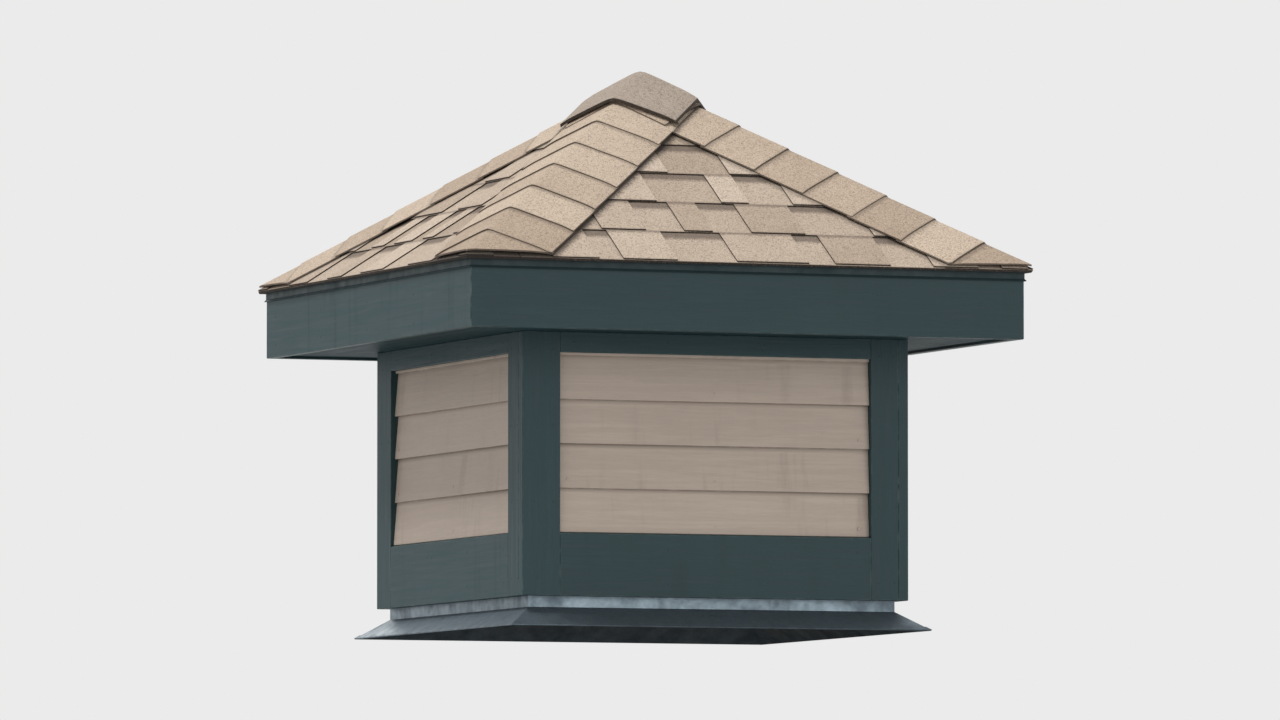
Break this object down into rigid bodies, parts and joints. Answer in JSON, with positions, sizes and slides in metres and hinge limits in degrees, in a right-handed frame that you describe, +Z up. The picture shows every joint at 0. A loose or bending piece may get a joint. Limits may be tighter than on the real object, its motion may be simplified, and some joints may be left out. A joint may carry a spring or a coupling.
{
  "type": "square garage cupola with a pyramid roof",
  "caption": "Square clapboard cupola with painted trim and a shingled pyramid roof, its foot cut to straddle the peak of a hip roof.",
  "frame": {"origin": "centre of the square base, level with the lower edge of the apron flashing", "axes": "+Z up, front faces -Y, +X to the right seen from the front"},
  "size_m": [1.34, 1.34, 1.2631],
  "materials": {
    "trim": "satin slate-green paint",
    "siding": "satin taupe paint",
    "plywood": "bare, matte",
    "framing": "bare sawn timber, matte",
    "flashing": "weathered mill finish, satin",
    "drip_edge": "satin coated",
    "shingles": "mineral granules, matte",
    "hip_caps": "mineral granules, matte"
  },
  "bodies": {
    "root": {"front_wall": "plywood", "right_wall": "plywood", "back_wall": "plywood", "left_wall": "plywood", "corner_posts": "framing", "top_plate": "framing", "hip_rafters": "framing", "front_flashing": "flashing", "right_flashing": "flashing", "back_flashing": "flashing", "left_flashing": "flashing", "front_skirt_board": "trim", "right_skirt_board": "trim", "back_skirt_board": "trim", "left_skirt_board": "trim", "front_siding": "siding", "right_siding": "siding", "back_siding": "siding", "left_siding": "siding", "front_frieze_board": "trim", "right_frieze_board": "trim", "back_frieze_board": "trim", "left_frieze_board": "trim", "front_left_corner_board": "trim", "front_right_corner_board": "trim", "back_right_corner_board": "trim", "back_left_corner_board": "trim", "front_soffit": "trim", "right_soffit": "trim", "back_soffit": "trim", "left_soffit": "trim", "front_fascia": "trim", "right_fascia": "trim", "back_fascia": "trim", "left_fascia": "trim", "front_roof_deck": "plywood", "right_roof_deck": "plywood", "back_roof_deck": "plywood", "left_roof_deck": "plywood", "drip_edge": "drip_edge", "front_shingles": "shingles", "right_shingles": "shingles", "back_shingles": "shingles", "left_shingles": "shingles", "hip_caps": "hip_caps"}
  },
  "joints": []
}
